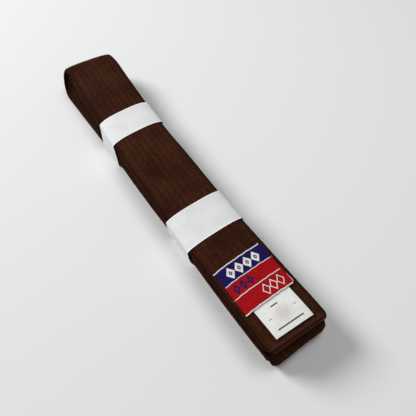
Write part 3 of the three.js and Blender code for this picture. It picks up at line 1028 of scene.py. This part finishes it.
def band_paper():
    """Uncoated white paper: cloudy pulp, fine tooth and a painted highlight along the strip's long edges.
    """
    nodes = Nodes("band_paper", Roughness=0.72, Specular_IOR_Level=0.3)
    cloud = nodes.noise(nodes.scaled_uv(0.12, 0.12), 5.0, 0.6)
    pulp = nodes.noise(nodes.scaled_uv(1.6, 0.9), 4.0, 0.7)
    tone = nodes.plus(nodes.math("MULTIPLY", cloud, 0.6), pulp, 0.4)
    pulpy = nodes.mix(nodes.stretch(tone, 0.32, 0.66), PAPER_DARK, PAPER_LIGHT)
    width = NEAR_BAND_HIGH[1] - NEAR_BAND_LOW[1]
    across = nodes.along_across()[1]
    # Painted highlight: lighter paper along both long edges, on the outer face only.
    painted_edge_light = nodes.math("MAXIMUM", nodes.stretch(across, 0.4, 0.8, 1.0, 0.0),
                     nodes.stretch(across, width - 0.8, width - 0.4, 0.0, 1.0))
    outside = nodes.stretch(across, width + 1, width + 2, 1.0, 0.0)
    nodes.colour(nodes.mix(nodes.math("MULTIPLY", painted_edge_light, outside), pulpy, PAPER_PAINTED_EDGE_LIGHT))
    nodes.rough(nodes.stretch(pulp, 0.3, 0.7, 0.64, 0.8))
    tooth = nodes.noise(nodes.scaled_uv(4, 3), 4.0, 0.7)
    nodes.bump(nodes.plus(tooth, cloud, 2.5), 0.28, 0.06)
    return nodes.material


def dried_glue():
    nodes = Nodes("dried_glue", Roughness=0.35, Specular_IOR_Level=0.5)
    tone = nodes.noise(nodes.scaled_uv(0.5, 0.5), 4.0)
    nodes.colour(nodes.mix(tone, GLUE_DARK, GLUE_LIGHT))
    nodes.bump(tone, 0.5, 0.2)
    return nodes.material


# -------- the pieces, put together

# How far past the near outer fold the quilting thread is made, and how far from the free ends.
QUILTING_PAST_FOLD, QUILTING_END = 5.8, 4


def finish_piece(obj, material, replaced=()):
    """Gives a piece its material, and hides the imported nodes that it replaces."""
    obj.data.materials.append(material)
    if replaced:
        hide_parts(*replaced)
    return obj


def build_belt():
    cloth, thread, core = cotton(), quilting_thread(), wadding()
    main = belt_length("belt_cotton_cover", SEAM_S, BELT_S, False, True)
    free = belt_length("free_end_cotton_cover", 0, SEAM_S, True, False)
    finish_piece(main, cloth, ["belt_cover"])
    finish_piece(free, cloth, ["free_end_cover"])

    near_fold = FOLD_PLACES[2]
    lower_seen = BELT_S - (NEAR_BAND_HIGH[1] - FREE_END)
    main_thread = quilting(
        "belt_quilting_thread",
        [(SEAM_S, near_fold + QUILTING_PAST_FOLD, 1), (lower_seen, BELT_S - QUILTING_END, -1)],
    )
    free_thread = quilting("free_end_quilting_thread", [(QUILTING_END, SEAM_S, side) for side in (1, -1)])
    for piece in (main_thread, free_thread):
        finish_piece(piece, thread)

    moving, still = [free, free_thread], [main, main_thread]
    for index in range(2):
        number = index + 1
        lower = core_ply(f"belt_wadding_{number}", SEAM_S, BELT_S - WADDING_END, index)
        upper = core_ply(f"free_end_wadding_{number}", WADDING_END, SEAM_S, index)
        still.append(finish_piece(lower, core, [f"belt_core_ply_{number}"]))
        moving.append(finish_piece(upper, core, [f"free_end_core_ply_{number}"]))
    for piece in still:
        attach(piece, "bundle")
    for piece in moving:
        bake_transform(piece)


def build_labels():
    woven = finish_piece(woven_label(), damask(), ["woven_label"])
    threads = finish_piece(label_threads(), white_thread(), ["woven_label_stitching"])
    tape = finish_piece(size_label(), satin_tape(),
                        ["size_label", "size_label_sewn_tab"])
    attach(woven, "free_end")
    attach(threads, "free_end")
    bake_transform(tape)


def build_bands():
    paper, glue = band_paper(), dried_glue()
    for side, low, high, seed in (("near", NEAR_BAND_LOW, NEAR_BAND_HIGH, 71),
                                  ("far", FAR_BAND_LOW, FAR_BAND_HIGH, 72)):
        band, length = paper_band(f"{side}_paper_band", low, high, seed)
        patch = glue_patch(f"{side}_band_glue", low, high)
        finish_piece(band, paper, [f"paper_band_{side}"])
        finish_piece(patch, glue, [f"paper_band_{side}_glue"])
        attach(band, f"{side}_band")
        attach(patch, f"{side}_band")


# -------- studio

FLOOR_REACH, FLOOR_GREY = 4.0, (0.81, 0.81, 0.81, 1)
SKY, SKY_STRENGTH = (0.97, 0.985, 1.0, 1), 0.13
LENS, SENSOR = 32.8, 36


def studio_floor():
    mesh = bpy.data.meshes.new("studio_floor")
    corners = [(-1, -1), (1, -1), (1, 1), (-1, 1)]
    mesh.from_pydata([(FLOOR_REACH * x, FLOOR_REACH * y, 0) for x, y in corners], [], [(0, 1, 2, 3)])
    nodes = Nodes("studio_floor", Roughness=0.8, Specular_IOR_Level=0.2)
    nodes.colour(FLOOR_GREY)
    mesh.materials.append(nodes.material)
    linked("studio_floor", mesh)


def soft_light(name, place_at, aim, size, power):
    """A round soft light. Its places and size are in metres, and its power is in watts."""
    data = bpy.data.lights.new(name, "AREA")
    data.shape = "DISK"
    data.size = size
    data.energy = power
    lamp = linked(name, data)
    lamp.location = place_at
    lamp.rotation_euler = (Vector(aim) - Vector(place_at)).to_track_quat("-Z", "Y").to_euler()


def studio_light():
    scene = bpy.context.scene
    scene.view_settings.view_transform = "Standard"
    world = bpy.data.worlds.new("studio")
    world.use_nodes = True
    background = world.node_tree.nodes["Background"]
    background.inputs[0].default_value = SKY
    background.inputs[1].default_value = SKY_STRENGTH
    scene.world = world
    soft_light("key", place_at=(-0.76, 1.28, 1.14), aim=(0.06, -0.04, 0.0), size=0.75, power=31.0)
    soft_light("overhead", place_at=(0.30, -0.05, 1.10), aim=(0.05, 0.0, 0.0), size=0.6, power=4.5)


def studio_camera():
    """The camera: its place, its heading from +Y towards +X, its tilt below the horizon, its roll."""
    place_at = Vector((-69.6, -155.1, 224.4)) * MM
    heading, tilt, roll = math.radians(33.96), math.radians(56.84), math.radians(-1.745)
    data = bpy.data.cameras.new("studio_camera")
    data.lens = LENS
    data.sensor_width = SENSOR
    data.clip_start = 0.01
    camera = linked("studio_camera", data)
    turned = Matrix.Rotation(-heading, 4, "Z") @ Matrix.Rotation(math.pi / 2 - tilt, 4, "X")
    camera.matrix_world = Matrix.Translation(place_at) @ turned @ Matrix.Rotation(roll, 4, "Z")
    bpy.context.scene.camera = camera


studio_camera()
studio_floor()
studio_light()
build_bands()
build_belt()
build_labels()
